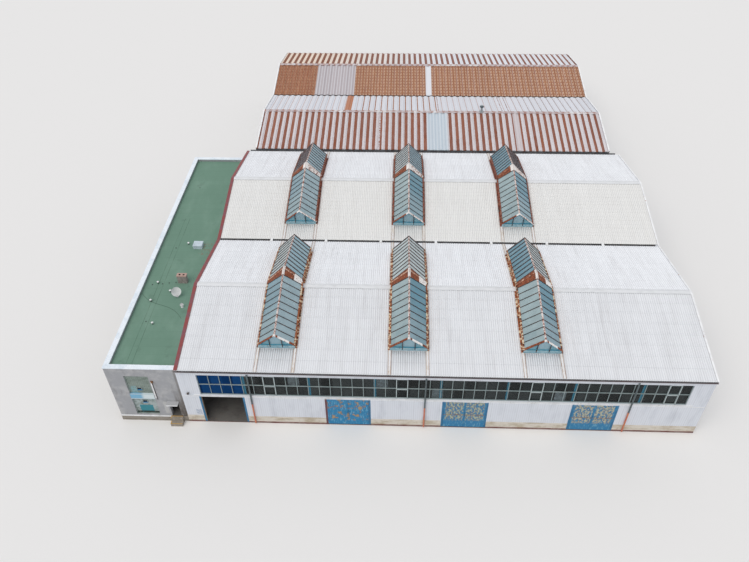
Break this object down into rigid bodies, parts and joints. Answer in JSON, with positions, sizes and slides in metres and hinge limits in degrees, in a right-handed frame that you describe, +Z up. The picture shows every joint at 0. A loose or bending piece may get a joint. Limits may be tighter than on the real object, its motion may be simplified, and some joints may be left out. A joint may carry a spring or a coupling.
{
  "type": "factory building, 1:2 scale model",
  "caption": "Low factory building at half scale: two white naves with ribbon window, rooflights and hinged steel doors, a ribbed-roof rear hall and a flat-roofed annex.",
  "frame": {"origin": "middle of the building's outline, on the ground", "axes": "+X along the front to the right, +Y from the front to the back, +Z up"},
  "size_m": [27.29, 34.395, 5.7766],
  "materials": {
    "floor_concrete": "worn ground slab",
    "plinth_concrete": "painted concrete, stained",
    "white_cladding": "painted, faintly streaked",
    "window_bars": "grey paint",
    "dark_glass": "dusty glass",
    "blue_sheet": "blue infill panes",
    "frame_blue": "faded blue paint",
    "white_sheet": "corrugated, streaked",
    "rusty_sheet": "ribbed, rusted",
    "cap_sheet": "ridge caps with rusty edges",
    "gutter_brown": "dark brown paint",
    "pipe_paint": "grey above, orange below",
    "red_flashing": "red-brown paint",
    "white_flashing": "white paint",
    "kerb_rust": "rusted steel",
    "skylight_glass": "dusty rooflight glass",
    "skylight_cap": "white with rust",
    "door_paint": "blue paint, peeled and rusty",
    "annex_plaster": "grey plaster",
    "green_felt": "green roofing felt",
    "coping_white": "pale blue-white sheet",
    "annex_frames": "painted bars",
    "annex_panes": "grey-green glass",
    "canopy_white": "white",
    "step_concrete": "concrete with yellow nosings",
    "chimney_render": "weathered render",
    "vent_white": "white hoods, dark outlets",
    "hatch_paint": "pale blue-grey",
    "dish_white": "white"
  },
  "bodies": {
    "root": {"hall_floor": "floor_concrete", "front_plinth": "plinth_concrete", "front_wall": "white_cladding", "sill_band": "white_cladding", "eave_band": "white_cladding", "window_frames": "window_bars", "hall_glass": "dark_glass", "blue_panes": "blue_sheet", "side_walls": "white_cladding", "back_wall": "white_cladding", "columns": "frame_blue", "column_heads": "frame_blue", "roof_beams": "frame_blue", "white_roof": "white_sheet", "rear_roof": "rusty_sheet", "ridge_caps": "cap_sheet", "eave_gutters": "gutter_brown", "valley_gutters": "gutter_brown", "downpipes": "pipe_paint", "left_verge": "red_flashing", "white_verges": "white_flashing", "skylight_kerbs": "kerb_rust", "skylight_gables": "frame_blue", "skylight_glazing": "skylight_glass", "skylight_ridges": "skylight_cap", "door_posts": "frame_blue", "door_heads": "frame_blue", "annex_floors": "floor_concrete", "annex_front_wall": "annex_plaster", "annex_door_head": "annex_plaster", "annex_left_wall": "annex_plaster", "annex_back_wall": "annex_plaster", "annex_roof": "green_felt", "annex_coping": "coping_white", "annex_windows": "annex_frames", "annex_glass": "annex_panes", "annex_canopy": "canopy_white", "annex_steps": "step_concrete", "chimney": "chimney_render", "roof_vents": "vent_white", "roof_hatch": "hatch_paint", "dish": "dish_white"},
    "door_1_left": {"door_1_left": "door_paint"},
    "door_1_right": {"door_1_right": "door_paint"},
    "door_2_left": {"door_2_left": "door_paint"},
    "door_2_right": {"door_2_right": "door_paint"},
    "door_3_left": {"door_3_left": "door_paint"},
    "door_3_right": {"door_3_right": "door_paint"}
  },
  "joints": [
    {"name": "door_1_left_hinge", "type": "hinge", "parent": "root", "child": "door_1_left", "pos_m": [-3.616, -16.8625, 0.96], "axis": [0, 0, -1], "range_deg": [0, 105]},
    {"name": "door_1_right_hinge", "type": "hinge", "parent": "root", "child": "door_1_right", "pos_m": [-1.674, -16.8625, 0.96], "axis": [0, 0, 1], "range_deg": [0, 105]},
    {"name": "door_2_left_hinge", "type": "hinge", "parent": "root", "child": "door_2_left", "pos_m": [1.829, -16.8625, 0.96], "axis": [0, 0, -1], "range_deg": [0, 105]},
    {"name": "door_2_right_hinge", "type": "hinge", "parent": "root", "child": "door_2_right", "pos_m": [3.771, -16.8625, 0.96], "axis": [0, 0, 1], "range_deg": [0, 105]},
    {"name": "door_3_left_hinge", "type": "hinge", "parent": "root", "child": "door_3_left", "pos_m": [7.759, -16.8625, 0.96], "axis": [0, 0, -1], "range_deg": [0, 105]},
    {"name": "door_3_right_hinge", "type": "hinge", "parent": "root", "child": "door_3_right", "pos_m": [9.701, -16.8625, 0.96], "axis": [0, 0, 1], "range_deg": [0, 105]}
  ]
}
